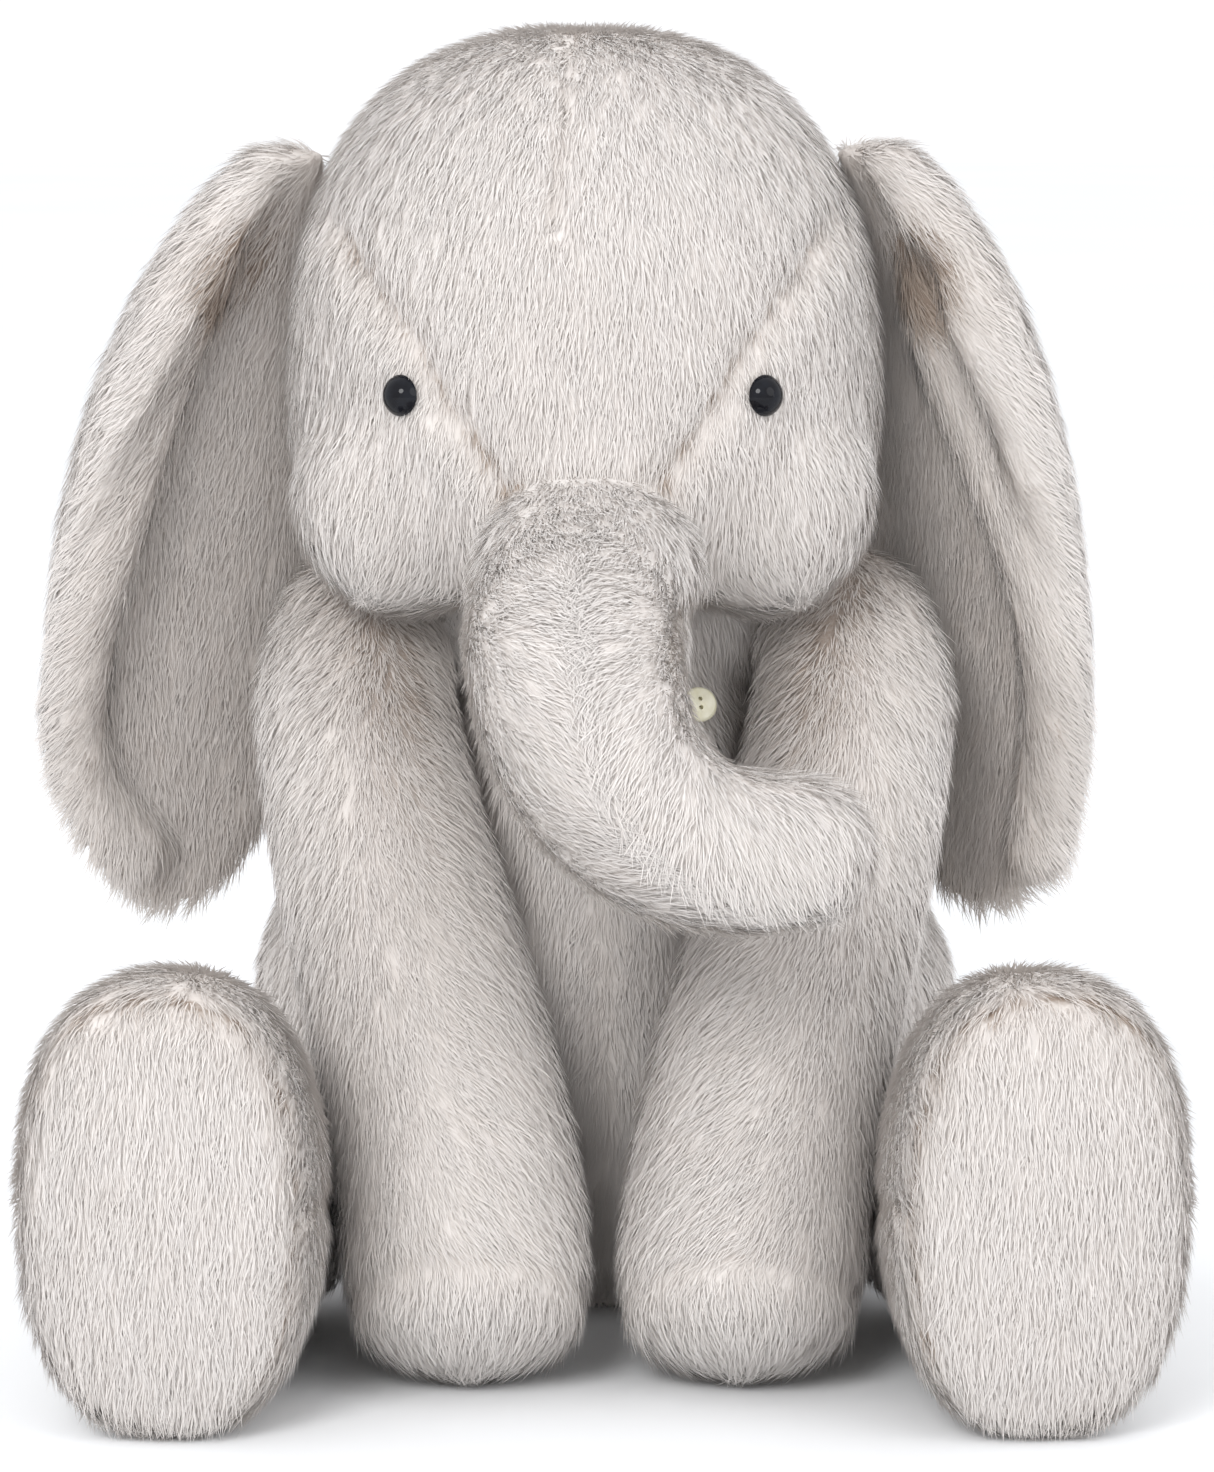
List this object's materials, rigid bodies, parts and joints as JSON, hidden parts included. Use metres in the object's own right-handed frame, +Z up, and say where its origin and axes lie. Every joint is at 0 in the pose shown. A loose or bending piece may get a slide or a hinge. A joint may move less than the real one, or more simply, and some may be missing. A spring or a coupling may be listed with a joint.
{
  "type": "stuffed elephant",
  "caption": "Seated soft toy elephant in pale faux fur, with a big head, hanging trunk, floppy ears, long arms and forward legs.",
  "frame": {"origin": "middle of the flat base panel that the elephant sits on", "axes": "+Z up, -Y towards the toes and the way the face looks, +X to the elephant's own left"},
  "size_m": [0.2447, 0.2464, 0.287],
  "materials": {
    "fur": "short dense faux fur pile lying along its nap",
    "filling": "white polyester fibre filling",
    "beans": "woven cotton pouch filled with plastic pellets",
    "eyes": "polished black",
    "washers": "moulded",
    "button": "pearly cream",
    "thread": "twisted polyester thread"
  },
  "bodies": {
    "torso": {"body_front_left": "fur", "body_front_right": "fur", "body_back_left": "fur", "body_back_right": "fur", "body_base": "fur", "body_stuffing": "filling", "bean_pouch": "beans", "chest_button": "button", "button_thread": "thread"},
    "head": {"forehead_gusset": "fur", "cheek_left": "fur", "cheek_right": "fur", "head_back_left": "fur", "head_back_right": "fur", "head_stuffing": "filling", "eye_left": "eyes", "eye_right": "eyes", "eye_washer_left": "washers", "eye_washer_right": "washers"},
    "trunk": {"trunk_top": "fur", "trunk_under": "fur", "trunk_stuffing": "filling"},
    "ear_left": {"ear_outer_left": "fur", "ear_inner_left": "fur"},
    "ear_right": {"ear_outer_right": "fur", "ear_inner_right": "fur"},
    "arm_left": {"arm_front_left": "fur", "arm_back_left": "fur", "paw_pad_left": "fur", "arm_stuffing_left": "filling"},
    "arm_right": {"arm_front_right": "fur", "arm_back_right": "fur", "paw_pad_right": "fur", "arm_stuffing_right": "filling"},
    "leg_left": {"leg_top_left": "fur", "leg_under_left": "fur", "sole_left": "fur", "leg_stuffing_left": "filling"},
    "leg_right": {"leg_top_right": "fur", "leg_under_right": "fur", "sole_right": "fur", "leg_stuffing_right": "filling"},
    "tail": {"tail": "fur"}
  },
  "joints": [
    {"name": "head_nod", "type": "hinge", "parent": "torso", "child": "head", "pos_m": [-0.0045, -0.016, 0.16], "axis": [1, 0, 0], "range_deg": [-10, 10], "stiffness_Nm_per_rad": 0.6},
    {"name": "trunk_lift", "type": "hinge", "parent": "head", "child": "trunk", "pos_m": [-0.0045, -0.095, 0.166], "axis": [-1, 0, 0], "range_deg": [-10, 35], "stiffness_Nm_per_rad": 0.15},
    {"name": "ear_left_flap", "type": "hinge", "parent": "head", "child": "ear_left", "pos_m": [0.0575, -0.02, 0.258], "axis": [0, -1, 0], "range_deg": [0, 60], "stiffness_Nm_per_rad": 0.02},
    {"name": "ear_right_flap", "type": "hinge", "parent": "head", "child": "ear_right", "pos_m": [-0.0675, -0.02, 0.257], "axis": [0, 1, 0], "range_deg": [0, 60], "stiffness_Nm_per_rad": 0.02},
    {"name": "arm_left_lift", "type": "hinge", "parent": "torso", "child": "arm_left", "pos_m": [0.054, -0.016, 0.16], "axis": [-1, 0, 0], "range_deg": [0, 15]},
    {"name": "arm_right_lift", "type": "hinge", "parent": "torso", "child": "arm_right", "pos_m": [-0.054, -0.016, 0.16], "axis": [-1, 0, 0], "range_deg": [0, 15]},
    {"name": "leg_left_swing", "type": "hinge", "parent": "torso", "child": "leg_left", "pos_m": [0.077, -0.05, 0.026], "axis": [-1, 0, 0], "range_deg": [-70, 6]},
    {"name": "leg_right_swing", "type": "hinge", "parent": "torso", "child": "leg_right", "pos_m": [-0.077, -0.05, 0.026], "axis": [-1, 0, 0], "range_deg": [-70, 6]},
    {"name": "tail_wag", "type": "hinge", "parent": "torso", "child": "tail", "pos_m": [0, 0.065, 0.066], "axis": [0, 1, 0], "range_deg": [-30, 30]}
  ]
}
